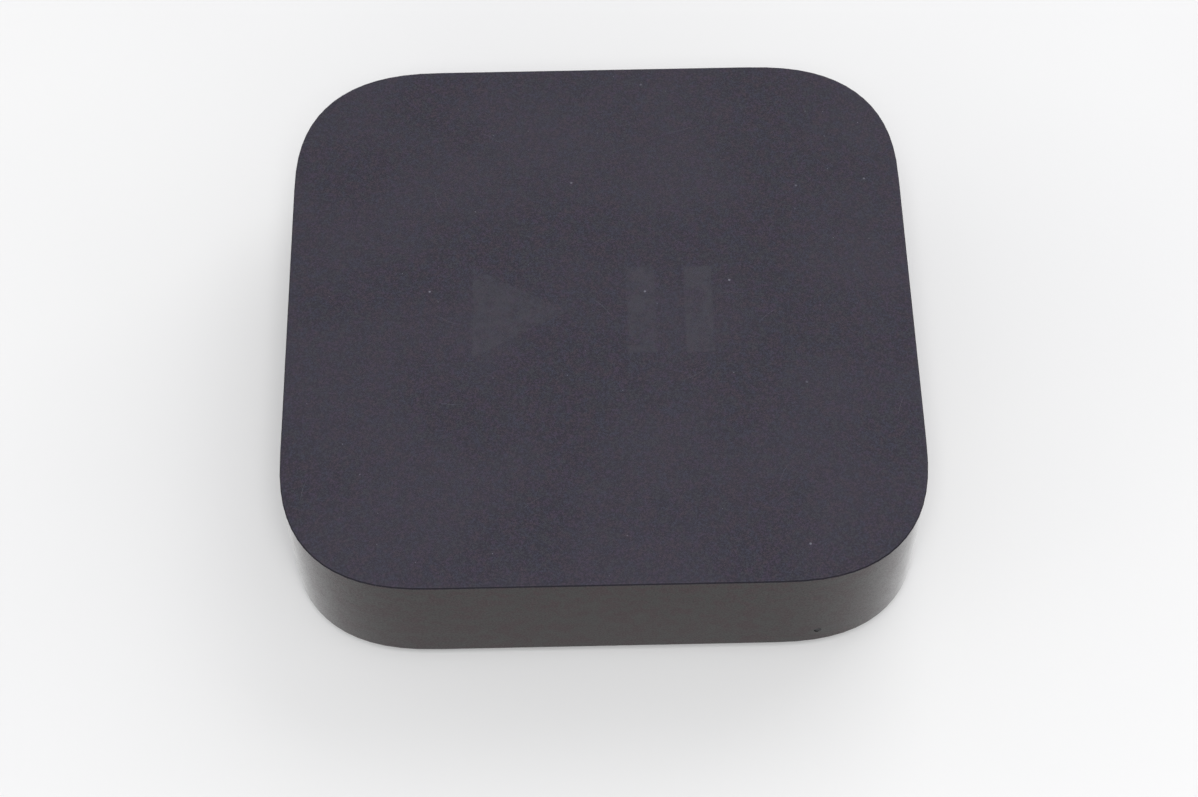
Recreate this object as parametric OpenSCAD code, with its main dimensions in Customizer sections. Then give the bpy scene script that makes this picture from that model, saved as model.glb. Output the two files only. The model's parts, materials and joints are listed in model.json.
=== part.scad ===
// Streaming media player: a square puck with continuous-curvature corners, a matte top, a gloss
// side band, a snap-in base on a rubber foot, and a row of sockets through the rear wall.
// Frame: origin at the centre of the foot, on the table. +Z is up, the front is at -Y and the
// sockets are at +Y. All sizes are in millimetres.

/* [Body] */
// Width and depth of the square body
body_w = 98; // [98:0.5:104]
// Height from the table to the top face
body_h = 23; // [23:0.5:26]
// Extent of each corner's blend
corner_r = 24; // [22:1:26]
// Roundness power of the corners, where 2 is a circle
corner_power = 2.55; // [2.3:0.05:2.8]
// Height of the gloss band's lower edge above the table
band_z = 3.3; // [3.3:0.1:3.6]
// How far the band draws in from its top to its lower edge
band_draft = 0.25; // [0.1:0.05:0.3]
// Thickness of the side walls
side_wall = 2; // [1.8:0.1:2]
// Thickness of the top wall
top_wall = 1.8; // [1.5:0.1:1.8]
// Radius of the top edge
edge_r = 0.4; // [0.2:0.1:0.5]

/* [Sockets] */
// Place of the power inlet along the rear wall
inlet_x = 24.5; // [24:0.5:25]
// Place of the video socket, and of the service socket above it
video_x = 5.5; // [5:0.5:6]
// Place of the optical audio socket
optical_x = -9.5; // [-10:0.5:-9.5]
// Place of the network socket
network_x = -25.5; // [-26:0.5:-25.5]
// Distance between the two power pins
pin_gap = 8.6; // [8.4:0.1:8.8]
// Radius of a power pin
pin_r = 1.2; // [1.1:0.05:1.2]

/* [Status light] */
// Place of the light's pinhole along the front wall
light_x = 32; // [30:0.5:33]
// Height of the pinhole above the band's lower edge
light_up = 3; // [3:0.1:4]

/* [Hidden] */

$fn = 48;
corner_steps = 16;      // straight steps along each corner of the outline
eps = 0.01;             // overrun of a cutting shape past the face that it cuts
half_w = body_w / 2;
inner_y = half_w - side_wall;

// Levels of the stack, from the base up
foot_lift = 0.9;                    // underside of the base above the table
pad_seat = 0.3;                     // depth of the foot's recess
floor_z = band_z - 0.9;             // inner floor of the base
plate_z = band_z + 0.3;             // heat plate
plate_t = 1;
plate_top = plate_z + plate_t;
power_z = plate_top + 1.2;          // power board
power_t = 1.6;
power_top = power_z + power_t;
logic_z = band_z + 9.9;             // logic board
logic_t = 1.2;
logic_top = logic_z + logic_t;
ceiling_z = body_h - top_wall;
rim_top = band_z + 2.1;             // top of the base's rim inside the band
port_z = logic_z - 0.3;             // middle of the network and optical sockets

// Fasteners: thread radius, head radius, head height
plate_screw = [1.25, 2.3, 1];
board_screw = [0.95, 1.8, 0.85];
thread_play = 0.05;                 // radial gap between a thread and its boss
plate_boss_r = 3;
board_boss_r = 2.4;
plate_posts = [[-38.5, 31], [38.5, 31], [-36, -36], [36, -36], [9.5, -2]];
logic_posts = [[-39, 10], [-39, -27], [9, -27], [10, 31]];
power_posts = [[40.3, -24], [20.6, 11]];
post_room = 0.4;                    // gap around a post where it passes through a board

// Snap clips, as places along the front, left, right and rear walls
clip_places = [-18, 0, 18];
rear_clips = [-9.5, 6];
clip_w = 7;
clip_in = 2.7;                      // outer face of a clip, in from the body's outline
clip_t = 1.2;
catch_z = rim_top + 0.1;
catch_t = 0.7;

// Power inlet
inlet_w = 20.5;
inlet_h = 11.2;
inlet_back_y = inner_y - 13;
inlet_z = power_top + inlet_h / 2;
inlet_lobe_r = 4;
inlet_lobe_gap = 8.4;
inlet_depth = 10.5;
inlet_waist_h = 6.4;
pin_tip_y = inner_y - 1.5;

// Video and service sockets
video_length = 11;
video_front_y = half_w - 0.4;
video_z = logic_z - 2.575;
service_length = 5.6;
service_z = logic_top + 1.25;
shell_t = 0.3;

// Network socket
network_w = 15.3;
network_h = 11.5;
network_back_y = inner_y - 15;
network_shield_t = 0.25;
nose_y = half_w - 0.8;              // front face of the plastic sockets

// Optical socket and its shutter
optical_w = 10.8;
optical_h = 11;
optical_back_y = inner_y - 12.5;
optical_hole = 9;                   // width and height of the cavity
optical_mouth = 8.2;                // width and height of the mouth, whose lip stops the shutter
optical_floor_y = inner_y - 10.5;
shutter_t = 1;
shutter_pin_r = 0.4;
shutter_knuckle_r = 0.7;
shutter_y = inner_y - 0.6;
shutter_z = port_z + optical_hole / 2 - shutter_knuckle_r - 0.2;
shutter_w = optical_hole - 0.3;
spring_x = [2.5, 4.1];              // stretch of the pin that carries the spring
spring_wire_r = 0.12;
spring_coil_r = 0.65;

// Boards, as [low x, low y], [high x, high y]
logic_box = [[-43, -34], [14, half_w - 2.5]];
power_box = [[17.5, -38], [43.5, half_w - 3]];
indicator_box = [[5, -43.4], [38, -42.4]];
indicator_z = [rim_top + 0.15, 15.5];

// Places on the logic board
processor_at = [-14, -4];
processor_w = 14;
processor_t = 1.1;
pad_t = 0.6;
pedestal_w = 18;
harness_socket_at = [9.8, -15];
ribbon_x = [6.5, 12.5];

light_z = band_z + light_up;

// ---------------------------------------------------------------------------------------------
// Outlines and lofts

function corner_point(a, half, r) = [
    half - r + r * pow(cos(a), 2 / corner_power),
    half - r + r * pow(sin(a), 2 / corner_power)
];

function turned(p, q) = q == 0 ? p : turned([-p.y, p.x], q - 1);

// The body's outline drawn in by a distance, anticlockwise from the +X side.
function outline(inset) = [
    for (q = [0:3]) for (i = [0:corner_steps])
        turned(corner_point(90 * i / corner_steps, half_w - inset, corner_r - inset), q)
];

// A closed solid through rings of [inset, z], from the lowest ring up.
module loft(rings) {
    n = 4 * (corner_steps + 1);
    last = len(rings) - 1;
    polyhedron(
        points = [for (k = rings) for (p = outline(k[0])) [p.x, p.y, k[1]]],
        faces = concat(
            [[for (i = [0:n - 1]) i]],
            [for (k = [0:last - 1]) for (i = [0:n - 1])
                [k * n + i, (k + 1) * n + i, (k + 1) * n + (i + 1) % n, k * n + (i + 1) % n]],
            [[for (i = [n - 1:-1:0]) last * n + i]]
        )
    );
}

module slab(inset, z0, z1) {
    translate([0, 0, z0]) linear_extrude(z1 - z0) polygon(outline(inset));
}

// A box from one corner to the opposite one.
module block(low, high) {
    translate(low) cube(high - low);
}

// A box centred in X and Y, from z0 to z1.
module chip(at, size, z0, z1) {
    translate([at.x - size.x / 2, at.y - size.y / 2, z0]) cube([size.x, size.y, z1 - z0]);
}

// Extrudes an X-Z outline along Y, from y0 to y1.
module along_y(y0, y1) {
    translate([0, y1, 0]) rotate([90, 0, 0]) linear_extrude(y1 - y0) children();
}

module at_each(places) {
    for (p = places) translate([p.x, p.y, 0]) children();
}

// A round bar along Y.
module bar_y(r, x, y0, y1, z) {
    translate([x, y1, z]) rotate([90, 0, 0]) cylinder(r = r, h = y1 - y0);
}

// A round bar along X.
module bar_x(r, x0, x1, y, z) {
    translate([x0, y, z]) rotate([0, 90, 0]) cylinder(r = r, h = x1 - x0);
}

// A pan-head screw that drives upwards, with its head's bearing face at z.
module screw(spec, z, length) {
    translate([0, 0, z]) cylinder(r = spec[0], h = length);
    difference() {
        translate([0, 0, z - spec[2]]) cylinder(r1 = spec[1] * 0.86, r2 = spec[1], h = spec[2]);
        translate([0, 0, z - spec[2] - eps]) cylinder(r = spec[1] * 0.5, h = spec[2] * 0.6, $fn = 6);
    }
}

// ---------------------------------------------------------------------------------------------
// Tubes

function bezier(a, b, c, d, t) =
    pow(1 - t, 3) * a + 3 * t * pow(1 - t, 2) * b + 3 * t * t * (1 - t) * c + pow(t, 3) * d;

// Catmull-Rom curve through a list of points, with a number of steps for each stretch.
function smooth(p, steps) = let(last = len(p) - 1) [
    for (i = [0:last - 1]) for (s = [0:steps - (i == last - 1 ? 0 : 1)])
        let(
            t = s / steps,
            a = p[max(i - 1, 0)], b = p[i], c = p[i + 1], d = p[min(i + 2, last)]
        )
        0.5 * (2 * b + (c - a) * t + (2 * a - 5 * b + 4 * c - d) * t * t
            + (3 * b - a - 3 * c + d) * t * t * t)
];

function unit(v) = v / norm(v);

function tangents(path) = let(last = len(path) - 1) [
    for (i = [0:last]) unit(path[min(i + 1, last)] - path[max(i - 1, 0)])
];

// Carries a normal along the path, so that the tube doesn't twist.
function carried(dirs, i = 0, normal = undef) =
    let(
        start = abs(dirs[i].z) < 0.9 ? [0, 0, 1] : [1, 0, 0],
        from = normal == undef ? start : normal,
        now = unit(from - (from * dirs[i]) * dirs[i])
    )
    i == len(dirs) - 1 ? [now] : concat([now], carried(dirs, i + 1, now));

module tube(path, r, sides = 8) {
    dirs = tangents(path);
    ups = carried(dirs);
    last = len(path) - 1;
    polyhedron(
        points = [for (k = [0:last]) for (s = [0:sides - 1])
            let(a = 360 * s / sides)
            path[k] + r * (cos(a) * ups[k] + sin(a) * cross(dirs[k], ups[k]))],
        faces = concat(
            [[for (s = [0:sides - 1]) s]],
            [for (k = [0:last - 1]) for (s = [0:sides - 1])
                let(n = (s + 1) % sides)
                [k * sides + s, (k + 1) * sides + s, (k + 1) * sides + n, k * sides + n]],
            [[for (s = [sides - 1:-1:0]) last * sides + s]]
        )
    );
}

// ---------------------------------------------------------------------------------------------
// Casings

// Places things made for the front wall on every wall that has clips.
module on_clip_places() {
    for (turn = [0, 90, 270]) for (p = clip_places)
        rotate([0, 0, turn]) translate([p, 0, 0]) children();
    for (p = rear_clips)
        rotate([0, 0, 180]) translate([-p, 0, 0]) children();
}

module screw_boss(r, thread_r, z0, depth) {
    difference() {
        translate([0, 0, z0]) cylinder(r = r, h = ceiling_z - z0 + eps);
        translate([0, 0, z0 - eps]) cylinder(r = thread_r + thread_play, h = depth);
    }
}

// Outline of the power inlet's cavity, in X and Z about the inlet's middle.
module inlet_outline(room = 0) {
    for (side = [-1, 1]) translate([side * inlet_lobe_gap / 2, 0]) circle(r = inlet_lobe_r + room);
    square([inlet_lobe_gap, inlet_waist_h + 2 * room], center = true);
}

module sockets_cut() {
    y0 = inner_y - 1;
    y1 = half_w + 1;
    translate([inlet_x, 0, inlet_z]) along_y(y0, y1) inlet_outline(0.15);
    translate([video_x, 0, video_z]) along_y(y0, y1) polygon(video_outline(0.5));
    translate([video_x, 0, service_z]) along_y(y0, y1) polygon(service_outline(0.4));
    translate([network_x, 0, port_z]) along_y(y0, y1) square([12.8, 10.8], center = true);
    translate([optical_x, 0, port_z]) along_y(y0, y1) square([10.2, 10], center = true);
}

module upper_case() color([0.16, 0.15, 0.18]) {
    difference() {
        union() {
            difference() {
                loft([
                    [band_draft, band_z],
                    [0, body_h - edge_r],
                    [edge_r * 0.13, body_h - edge_r / 2],
                    [edge_r * 0.5, body_h - edge_r * 0.13],
                    [edge_r, body_h]
                ]);
                slab(side_wall, band_z - 1, ceiling_z);
            }
            at_each(plate_posts) screw_boss(plate_boss_r, plate_screw[0], plate_top, 9);
            at_each(logic_posts) screw_boss(board_boss_r, board_screw[0], logic_top, 5.5);
            at_each(power_posts) screw_boss(board_boss_r, board_screw[0], power_top, 7);
            on_clip_places() block(
                [-clip_w / 2 - 0.5, -inner_y - 0.5, catch_z],
                [clip_w / 2 + 0.5, -half_w + clip_in - 0.08, catch_z + catch_t]
            );
            // Slots that hold the indicator board by its ends
            for (x = [indicator_box[0].x, indicator_box[1].x]) for (side = [-1, 1])
                chip([x, -42.9 + side * 1.1], [2, 1], indicator_z[1] - 3, ceiling_z + eps);
            for (x = [indicator_box[0].x, indicator_box[1].x])
                chip([x, -42.9], [2, 2], indicator_z[1] + 0.1, ceiling_z + eps);
        }
        sockets_cut();
        bar_y(0.55, light_x, -half_w - 1, -inner_y + 1, light_z);
    }
}

module clip() {
    y = -half_w + clip_in;
    block([-clip_w / 2, y, band_z - 0.5], [clip_w / 2, y + clip_t, catch_z + catch_t + 1.2]);
    // Barb above the catch
    translate([-clip_w / 2, 0, 0]) rotate([90, 0, 90]) linear_extrude(clip_w) polygon([
        [y + eps, catch_z + catch_t + 0.1],
        [y - 0.55, catch_z + catch_t + 0.1],
        [y - 0.55, catch_z + catch_t + 0.4],
        [y + eps, catch_z + catch_t + 1.2]
    ]);
}

module lower_case() color([0.12, 0.12, 0.13]) {
    difference() {
        union() {
            loft([
                [7.5, foot_lift],
                [6.2, foot_lift + 0.25],
                [3.4, band_z - 1.3],
                [1.7, band_z - 0.4],
                [1.2, band_z]
            ]);
            slab(side_wall + 0.2, band_z - 0.2, rim_top);
        }
        slab(side_wall + 1.4, band_z, rim_top + 1);
        slab(side_wall + 3, floor_z, band_z + 1);
        slab(9, foot_lift - 1, foot_lift + pad_seat);
    }
    on_clip_places() clip();
}

module foot_pad() color([0.09, 0.09, 0.09]) {
    loft([[9.6, 0], [9.2, 0.35], [9.2, foot_lift + pad_seat]]);
}

module heat_plate() color([0.72, 0.73, 0.75]) {
    pedestal_top = logic_z - processor_t - pad_t;
    difference() {
        union() {
            slab(5.2, plate_z, plate_top);
            chip(processor_at, [pedestal_w, pedestal_w], plate_top - eps, pedestal_top);
        }
        at_each(plate_posts) translate([0, 0, plate_z - 1]) cylinder(r = 1.5, h = 3);
        // The pedestal is pressed up from the sheet, so it is open below.
        chip(
            processor_at,
            [pedestal_w - 2 * plate_t, pedestal_w - 2 * plate_t],
            plate_z - 1, pedestal_top - plate_t
        );
        // Airing holes under the logic board
        for (i = [0:5]) for (j = [0:1])
            translate([-36 + 6 * i, 20 + 6 * j, plate_z - 1]) cylinder(r = 1.6, h = 3);
    }
}

module heat_plate_screws() color([0.5, 0.5, 0.52]) {
    at_each(plate_posts) screw(plate_screw, plate_z, 8);
}

// ---------------------------------------------------------------------------------------------
// Boards

module board(box, inset, z0, z1) {
    intersection() {
        slab(inset, z0, z1);
        block([box[0].x, box[0].y, z0 - 1], [box[1].x, box[1].y, z1 + 1]);
    }
}

module logic_board() color([0.05, 0.18, 0.12]) {
    difference() {
        board(logic_box, 2.5, logic_z, logic_top);
        at_each(logic_posts) translate([0, 0, logic_z - 1]) cylinder(r = 1.15, h = 3);
        at_each(plate_posts)
            translate([0, 0, logic_z - 1]) cylinder(r = plate_boss_r + post_room, h = 3);
        // Notches that the two tall sockets sink into
        block(
            [network_x - network_w / 2 - 0.6, network_back_y - 0.5, logic_z - 1],
            [network_x + network_w / 2 + 0.6, half_w, logic_top + 1]
        );
        block(
            [optical_x - optical_w / 2 - 0.2, optical_back_y - 0.3, logic_z - 1],
            [optical_x + optical_w / 2 + 0.2, half_w, logic_top + 1]
        );
    }
}

module logic_board_screws() color([0.5, 0.5, 0.52]) {
    at_each(logic_posts) screw(board_screw, logic_z, 6);
}

module power_board() color([0.55, 0.42, 0.2]) {
    difference() {
        board(power_box, 3, power_z, power_top);
        at_each(power_posts) translate([0, 0, power_z - 1]) cylinder(r = 1.15, h = 4);
        at_each(plate_posts)
            translate([0, 0, power_z - 1]) cylinder(r = plate_boss_r + post_room, h = 4);
    }
}

module power_board_screws() color([0.5, 0.5, 0.52]) {
    at_each(power_posts) screw(board_screw, power_z, 7);
}

module power_insulator() color([0.85, 0.83, 0.75]) {
    sheet_t = 0.25;
    difference() {
        board([power_box[0] - [0.8, 0], power_box[1]], 5.4, plate_top, plate_top + sheet_t);
        at_each(plate_posts)
            translate([0, 0, plate_top - 1]) cylinder(r = plate_boss_r + post_room, h = 3);
    }
}

module indicator_board() color([0.05, 0.18, 0.12]) {
    block(
        [indicator_box[0].x, indicator_box[0].y, indicator_z[0]],
        [indicator_box[1].x, indicator_box[1].y, indicator_z[1]]
    );
}

// ---------------------------------------------------------------------------------------------
// Sockets

module power_inlet() color([0.1, 0.1, 0.1]) {
    difference() {
        intersection() {
            block(
                [inlet_x - inlet_w / 2, inlet_back_y, power_top],
                [inlet_x + inlet_w / 2, inner_y, power_top + inlet_h]
            );
            slab(side_wall + 0.1, power_top - 1, ceiling_z);
        }
        translate([inlet_x, 0, inlet_z]) along_y(inner_y - inlet_depth, half_w) inlet_outline();
        for (side = [-1, 1])
            bar_y(0.9, inlet_x + side * pin_gap / 2, inlet_back_y - 1, inner_y, inlet_z);
    }
}

module power_inlet_pins() color([0.8, 0.78, 0.72]) {
    for (side = [-1, 1]) {
        x = inlet_x + side * pin_gap / 2;
        bar_y(0.85, x, inlet_back_y - 0.6, inner_y - inlet_depth + eps, inlet_z);
        bar_y(pin_r, x, inner_y - inlet_depth, pin_tip_y - 0.5, inlet_z);
        translate([x, pin_tip_y - 0.5 - eps, inlet_z]) rotate([-90, 0, 0])
            cylinder(r1 = pin_r, r2 = pin_r * 0.55, h = 0.5);
        // Solder tail down to the board
        block([x - 0.8, inlet_back_y - 1.2, power_top], [x + 0.8, inlet_back_y - 0.4, inlet_z + 0.9]);
    }
}

// Outline of the video socket's shell, drawn out by a distance: wide above, cut corners below.
function video_outline(out) = [
    [-7 - out, 2.275 + out], [-7 - out, -0.6 - out * 0.4], [-5.6 - out * 0.5, -2.275 - out],
    [5.6 + out * 0.5, -2.275 - out], [7 + out, -0.6 - out * 0.4], [7 + out, 2.275 + out]
];

module video_port_shell() color([0.75, 0.75, 0.76]) {
    y0 = video_front_y - video_length;
    translate([video_x, 0, video_z]) difference() {
        along_y(y0, video_front_y) polygon(video_outline(shell_t));
        along_y(y0 + shell_t, video_front_y + 1) polygon(video_outline(0));
    }
}

module video_port_tongue() color([0.08, 0.08, 0.08]) {
    y0 = video_front_y - video_length + shell_t;
    translate([video_x, 0, video_z]) {
        along_y(y0, y0 + 3) polygon(video_outline(0));
        block([-5.6, y0 + 3 - eps, -0.15], [5.6, video_front_y - 1, 0.75]);
    }
}

module video_port_contacts() color([0.85, 0.7, 0.35]) {
    y0 = video_front_y - video_length + shell_t + 3;
    y1 = video_front_y - 1.5;
    size = [0.4, y1 - y0];
    thickness = 0.08;
    pitch = 1;
    translate([video_x, (y0 + y1) / 2, video_z]) {
        for (i = [-4.5:4.5]) chip([i * pitch, 0], size, 0.75, 0.75 + thickness);
        for (i = [-4:4]) chip([i * pitch, 0], size, -0.15 - thickness, -0.15);
    }
}

function service_outline(out) = [
    [-3.45 - out, 0.95 + out], [-3.45 - out, 0.1 - out * 0.4], [-2.7 - out * 0.5, -0.95 - out],
    [2.7 + out * 0.5, -0.95 - out], [3.45 + out, 0.1 - out * 0.4], [3.45 + out, 0.95 + out]
];

module service_port_shell() color([0.75, 0.75, 0.76]) {
    y0 = video_front_y - service_length;
    translate([video_x, 0, service_z]) difference() {
        along_y(y0, video_front_y) polygon(service_outline(shell_t));
        along_y(y0 + shell_t, video_front_y + 1) polygon(service_outline(0));
    }
}

module service_port_tongue() color([0.08, 0.08, 0.08]) {
    y0 = video_front_y - service_length + shell_t;
    translate([video_x, 0, service_z]) {
        along_y(y0, y0 + 1) polygon(service_outline(0));
        block([-1.9, y0 + 1 - eps, -0.05], [1.9, video_front_y - 0.8, 0.55]);
    }
}

// The network socket's cavity: the plug's body, with the latch's two steps below it.
module network_cavity_outline() {
    translate([0, 1]) square([11.8, 7.4], center = true);
    translate([0, -3.2]) square([6.4, 2], center = true);
    translate([0, -4.2]) square([3.6, 1.6], center = true);
}

module network_port_housing() color([0.1, 0.1, 0.1]) {
    difference() {
        union() {
            intersection() {
                translate([network_x, 0, port_z]) along_y(network_back_y, inner_y)
                    square([network_w, network_h], center = true);
                slab(side_wall + 0.1, logic_z - 9, ceiling_z);
            }
            translate([network_x, 0, port_z]) along_y(inner_y - 0.1 - eps, nose_y)
                square([12.5, 10.5], center = true);
        }
        translate([network_x, 0, port_z]) along_y(inner_y - 12, half_w) network_cavity_outline();
    }
}

module network_port_shield() color([0.72, 0.72, 0.73]) {
    gap = 0.05;
    outer = [network_w, network_h] + 2 * (network_shield_t + gap) * [1, 1];
    difference() {
        intersection() {
            union() {
                translate([network_x, 0, port_z])
                    along_y(network_back_y - network_shield_t - gap, inner_y) square(outer, center = true);
                // Ears that stand on the board beside its notch
                chip([network_x, inner_y - 8], [network_w + 3.1, 3], logic_top, logic_top + 0.4);
            }
            slab(side_wall + 0.2, logic_z - 9, ceiling_z);
        }
        translate([network_x, 0, port_z]) along_y(network_back_y - gap, inner_y + 1)
            square([network_w, network_h] + 2 * gap * [1, 1], center = true);
    }
}

module network_port_contacts() color([0.85, 0.7, 0.35]) {
    wire = 0.36;
    pitch = 1.02;
    for (i = [-3.5:3.5])
        translate([network_x + i * pitch - wire / 2, inner_y - 1.4, port_z + 4.3]) rotate([18, 0, 0])
            translate([0, -6, -wire]) cube([wire, 6, wire]);
}

module optical_housing() color([0.1, 0.1, 0.1]) {
    difference() {
        union() {
            translate([optical_x, 0, port_z]) along_y(optical_back_y, inner_y - 0.1)
                square([optical_w, optical_h], center = true);
            translate([optical_x, 0, port_z]) along_y(inner_y - 0.1 - eps, nose_y)
                square([9.9, 9.7], center = true);
            // Ears that stand on the board beside its notch
            chip([optical_x, inner_y - 8], [optical_w + 2.6, 3], logic_top, logic_top + 0.8);
        }
        translate([optical_x, 0, port_z]) along_y(optical_floor_y, shutter_y + shutter_t / 2 + 0.05)
            square(optical_hole, center = true);
        translate([optical_x, 0, port_z]) along_y(optical_floor_y, half_w)
            square(optical_mouth, center = true);
        bar_x(
            shutter_knuckle_r + 0.06, optical_x - optical_hole / 2, optical_x + optical_hole / 2,
            shutter_y, shutter_z
        );
        bar_x(
            shutter_pin_r + 0.02, optical_x - optical_w / 2 - 1, optical_x + optical_w / 2 + 1,
            shutter_y, shutter_z
        );
        bar_y(1.6, optical_x, optical_back_y - 1, optical_floor_y + 1, port_z);
    }
}

module optical_emitter() color([0.75, 0.3, 0.25]) {
    bar_y(1.55, optical_x, optical_back_y - 0.2, optical_floor_y + 0.6, port_z);
}

module optical_shutter() color([0.13, 0.13, 0.14]) {
    left = optical_x - shutter_w / 2;
    right = optical_x + shutter_w / 2;
    low = port_z - optical_hole / 2 + 0.2;
    spring_low = shutter_z - spring_coil_r - spring_wire_r - 0.15;
    difference() {
        union() {
            block([left, shutter_y - shutter_t / 2, low], [right, shutter_y + shutter_t / 2, shutter_z]);
            bar_x(shutter_knuckle_r, left, optical_x + spring_x[0] - 0.1, shutter_y, shutter_z);
        }
        bar_x(shutter_pin_r + 0.05, left - 1, right + 1, shutter_y, shutter_z);
        // Room for the spring on the pin
        block(
            [optical_x + spring_x[0] - 0.1, shutter_y - 2, spring_low],
            [right + 1, shutter_y + 2, shutter_z + 2]
        );
        // Finger step that an arriving plug meets
        block([left + 1.2, shutter_y + shutter_t / 2 - 0.25, low + 1], [right - 1.2, shutter_y + 1, low + 6]);
    }
}

module shutter_pin() color([0.7, 0.7, 0.72]) {
    bar_x(shutter_pin_r, optical_x - 5.2, optical_x + 5.2, shutter_y, shutter_z);
}

module shutter_spring() color([0.7, 0.7, 0.72]) {
    turns = 4.25;
    steps = 12;
    span = spring_x[1] - spring_x[0] - 2 * spring_wire_r;
    leg = 2.6;
    coil = [for (i = [0:turns * steps])
        let(a = 90 + 360 * i / steps)
        [
            optical_x + spring_x[0] + spring_wire_r + span * i / (turns * steps),
            shutter_y + spring_coil_r * cos(a),
            shutter_z + spring_coil_r * sin(a)
        ]
    ];
    first = coil[0];
    last = coil[len(coil) - 1];
    // One leg lies along the cavity's ceiling and the other down the shutter's inner face.
    tube(concat([first + [0, -leg, 0]], coil, [last + [0, 0, -leg]]), spring_wire_r, 6);
}

// ---------------------------------------------------------------------------------------------
// Parts on the logic board

module processor() color([0.1, 0.1, 0.11]) {
    chip(processor_at, [processor_w, processor_w], logic_z - processor_t, logic_z);
}

module thermal_pad() color([0.55, 0.6, 0.7]) {
    chip(processor_at, [processor_w, processor_w], logic_z - processor_t - pad_t, logic_z - processor_t);
}

module flash_memory() color([0.1, 0.1, 0.11]) {
    chip([-14, -23.5], [18, 14], logic_z - 1, logic_z);
}

module power_manager() color([0.1, 0.1, 0.11]) {
    chip([0, 3], [7, 7], logic_z - 0.9, logic_z);
}

module wireless_module() color([0.7, 0.7, 0.7]) {
    chip([-29, -19], [15, 13], logic_top, logic_top + 0.5);
    chip([-29, -19], [14.4, 12.4], logic_top + 0.5 - eps, logic_top + 1.9);
}

module shield_can() color([0.75, 0.75, 0.76]) {
    size = [15, 18];
    at = [-32, -4];
    height = 1.8;
    sheet_t = 0.2;
    difference() {
        chip(at, size, logic_z - height, logic_z);
        chip(at, size - 2 * sheet_t * [1, 1], logic_z - height + sheet_t, logic_z + 1);
        for (i = [-2:2]) for (j = [-2:2])
            translate([at.x + 2.6 * i, at.y + 3 * j, logic_z - height - 1]) cylinder(r = 0.6, h = 1.5);
    }
}

module network_transformer() color([0.1, 0.1, 0.11]) {
    chip([network_x, 22], [12.5, 9.5], logic_z - 3, logic_z - 0.3);
    for (side = [-1, 1]) for (i = [-3.5:3.5])
        chip([network_x + 1.27 * i, 22 + side * 5], [0.5, 1.6], logic_z - 0.3 - eps, logic_z);
}

module logic_small_parts() color([0.6, 0.5, 0.38]) {
    small = [1, 0.5];
    rows = [[-22, 8], [-22, 10], [-22, -14.6], [-40, -16], [-40, -18]];
    for (row = rows) for (i = [0:8])
        chip([row.x + 2 * i, row.y], small, logic_z - 0.5, logic_z);
    // Tall blocking capacitors near the power manager
    for (i = [0:3]) chip([-3 + 3 * i, 10], [1.6, 2.8], logic_z - 1.6, logic_z);
    // Upper face of the board
    for (i = [0:9]) for (j = [0:1])
        chip([-20 + 2.2 * i, -24 + 2 * j], small, logic_top, logic_top + 0.5);
}

module logic_inductors() color([0.3, 0.3, 0.32]) {
    for (y = [-16, -11, -6]) chip([1.5, y], [4, 4], logic_z - 2, logic_z);
}

module clock_crystal() color([0.8, 0.78, 0.7]) {
    chip([-8, 16], [3.2, 2.5], logic_z - 0.8, logic_z);
}

module logic_harness_socket() color([0.9, 0.88, 0.8]) {
    difference() {
        chip(harness_socket_at, [8.4, 9], logic_z - 4, logic_z);
        block(
            [harness_socket_at.x - 3.5, harness_socket_at.y - 5, logic_z - 3.6],
            [harness_socket_at.x + 3.5, harness_socket_at.y + 2.5, logic_z - 0.6]
        );
    }
}

module ribbon_socket() color([0.9, 0.88, 0.8]) {
    chip([(ribbon_x[0] + ribbon_x[1]) / 2, -32], [8, 3.2], logic_top, logic_top + 1.4);
}

// ---------------------------------------------------------------------------------------------
// Parts on the power board

module fuse() color([0.12, 0.12, 0.12]) {
    chip([38.5, 20.5], [4.2, 8.4], power_top, power_top + 7.7);
}

module input_choke() color([0.7, 0.4, 0.2]) {
    at = [26, 20];
    ring_z = power_top + 6.4;
    chip(at, [12, 8.6], power_top, power_top + 1.2);
    translate([at.x, at.y, ring_z]) rotate([90, 0, 0])
        rotate_extrude() translate([3.9, 0]) square([3, 5], center = true);
}

module noise_capacitor() color([0.85, 0.72, 0.15]) {
    chip([27, 29], [13, 5.5], power_top, power_top + 11);
}

module bridge_rectifier() color([0.1, 0.1, 0.11]) {
    chip([38.5, 10.5], [8.2, 6.5], power_top, power_top + 2.6);
}

module bulk_capacitor() color([0.12, 0.14, 0.3]) {
    r = 5;
    x = 38;
    z = power_top + r;
    // The sleeve turns in over the can's rolled neck at the lead end.
    translate([x, 4, z]) rotate([90, 0, 0]) rotate_extrude() polygon([
        [0, 0], [r - 0.4, 0], [r, 0.4], [r, 16.6], [r - 0.6, 17.2], [r - 0.6, 17.8],
        [r, 18.4], [r, 19.6], [r - 0.4, 20], [0, 20]
    ]);
}

module transformer_core() color([0.22, 0.22, 0.23]) {
    at = [25, -3];
    // Two E halves: a frame with a round centre leg
    difference() {
        chip(at, [9.4, 16], power_top + 1, power_top + 12);
        chip(at, [15, 10.4], power_top + 3.2, power_top + 9.8);
    }
    translate([at.x, at.y, power_top + 3]) cylinder(r = 2, h = 7);
}

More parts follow.
